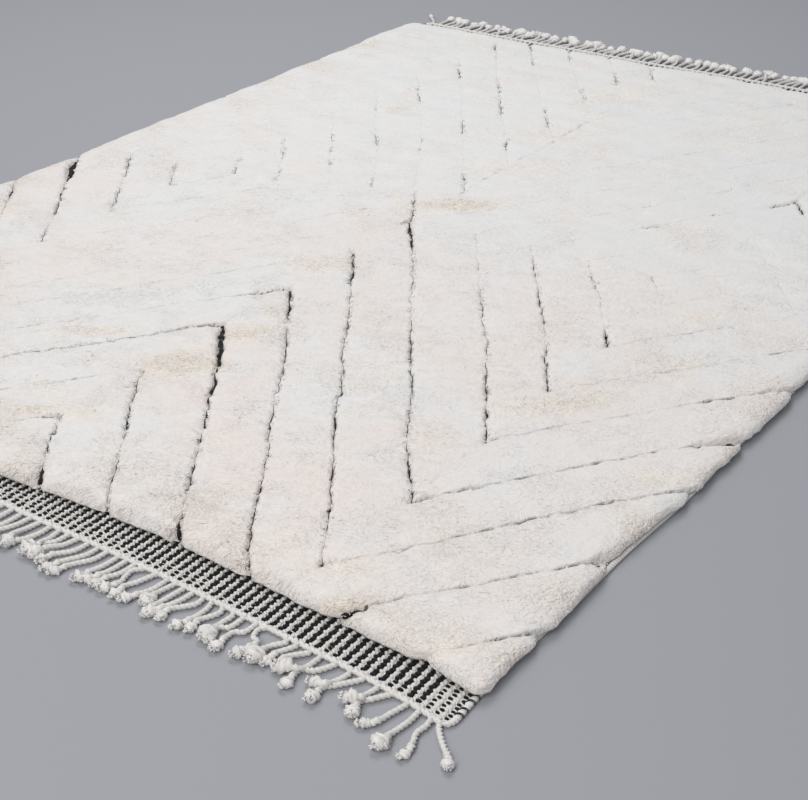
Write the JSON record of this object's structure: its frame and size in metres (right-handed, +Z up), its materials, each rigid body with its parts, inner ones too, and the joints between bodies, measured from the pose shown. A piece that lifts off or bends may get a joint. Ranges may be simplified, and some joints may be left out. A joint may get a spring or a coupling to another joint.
{
  "type": "beni ourain rug",
  "caption": "Thick ivory hand-knotted wool rug with concentric diamond lines, black and white flatwoven end bands, overcast selvedges and knotted cord fringes, lying flat.",
  "frame": {"origin": "on the floor under the middle of the whole rug, tassels included", "axes": "+X across the rug, +Y along it from the near fringe to the far fringe, +Z up from the floor"},
  "size_m": [2.08, 3.02, 0.031],
  "materials": {
    "pile_wool": "long soft ivory wool pile with thin black yarn lines",
    "band_wool": "flatwoven black and white wool ribs",
    "fringe_wool": "twisted two-ply white wool cords",
    "selvedge_wool": "thick white wool wrapping with thin black threads at the corners"
  },
  "bodies": {
    "root": {"pile_field": "pile_wool", "end_band_near": "band_wool", "end_band_far": "band_wool", "fringe_near": "fringe_wool", "fringe_far": "fringe_wool", "selvedge_left": "selvedge_wool", "selvedge_right": "selvedge_wool"}
  },
  "joints": []
}
